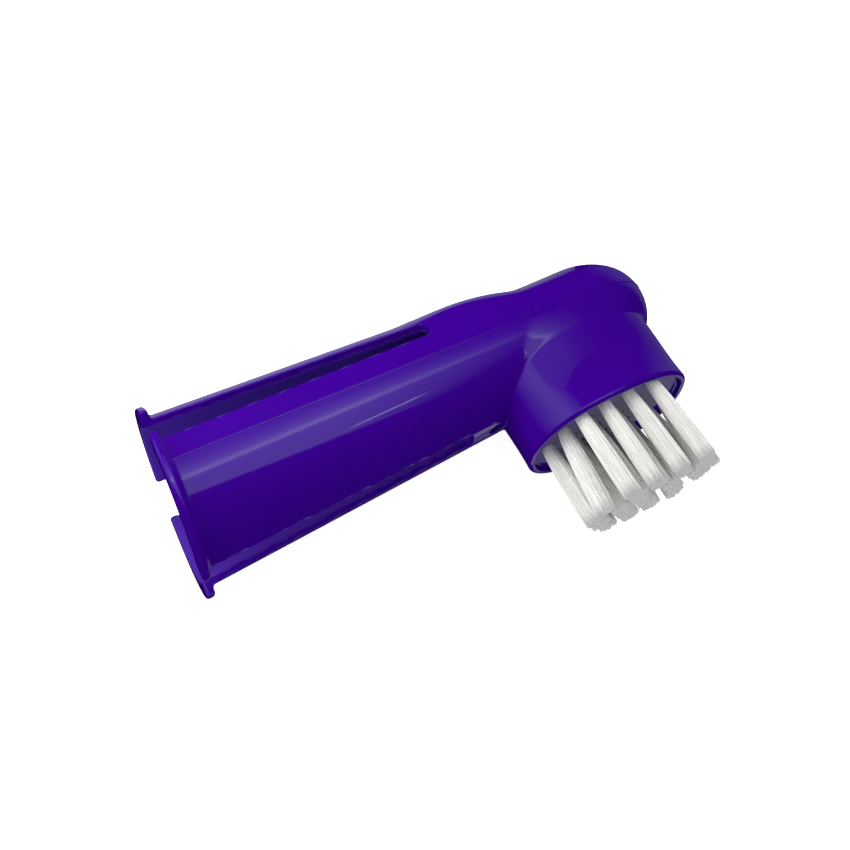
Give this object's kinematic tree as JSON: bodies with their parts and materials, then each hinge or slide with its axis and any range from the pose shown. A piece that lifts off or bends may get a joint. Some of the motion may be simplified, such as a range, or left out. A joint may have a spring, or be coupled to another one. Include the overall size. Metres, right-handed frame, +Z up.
{
  "type": "pet finger toothbrush",
  "caption": "Finger-worn pet toothbrush: a tapered slotted plastic sleeve open at one end, with an oval cup of bristle tufts standing out square from its closed end.",
  "frame": {"origin": "middle of the footprint, at the lowest point of the brush lying on its side", "axes": "+X along the finger from the open mouth to the brush tip, -Y the way the bristles point, +Z up"},
  "size_m": [0.0678, 0.038, 0.0243],
  "materials": {
    "purple_plastic": "glossy moulded polypropylene",
    "white_nylon": "satin monofilament, cut ends",
    "anchor_metal": "cut flat wire"
  },
  "bodies": {
    "root": {"sleeve": "purple_plastic", "tuft_r1_1": "white_nylon", "tuft_r1_2": "white_nylon", "tuft_r1_3": "white_nylon", "tuft_r1_4": "white_nylon", "tuft_r2_1": "white_nylon", "tuft_r2_2": "white_nylon", "tuft_r2_3": "white_nylon", "tuft_r2_4": "white_nylon", "tuft_r2_5": "white_nylon", "tuft_r3_1": "white_nylon", "tuft_r3_2": "white_nylon", "tuft_r3_3": "white_nylon", "tuft_r3_4": "white_nylon", "tuft_r3_5": "white_nylon", "tuft_r3_6": "white_nylon", "tuft_r4_1": "white_nylon", "tuft_r4_2": "white_nylon", "tuft_r4_3": "white_nylon", "tuft_r4_4": "white_nylon", "tuft_r4_5": "white_nylon", "tuft_r5_1": "white_nylon", "tuft_r5_2": "white_nylon", "tuft_r5_3": "white_nylon", "tuft_r5_4": "white_nylon", "anchor_r1_1": "anchor_metal", "anchor_r1_2": "anchor_metal", "anchor_r1_3": "anchor_metal", "anchor_r1_4": "anchor_metal", "anchor_r2_1": "anchor_metal", "anchor_r2_2": "anchor_metal", "anchor_r2_3": "anchor_metal", "anchor_r2_4": "anchor_metal", "anchor_r2_5": "anchor_metal", "anchor_r3_1": "anchor_metal", "anchor_r3_2": "anchor_metal", "anchor_r3_3": "anchor_metal", "anchor_r3_4": "anchor_metal", "anchor_r3_5": "anchor_metal", "anchor_r3_6": "anchor_metal", "anchor_r4_1": "anchor_metal", "anchor_r4_2": "anchor_metal", "anchor_r4_3": "anchor_metal", "anchor_r4_4": "anchor_metal", "anchor_r4_5": "anchor_metal", "anchor_r5_1": "anchor_metal", "anchor_r5_2": "anchor_metal", "anchor_r5_3": "anchor_metal", "anchor_r5_4": "anchor_metal"}
  },
  "joints": []
}
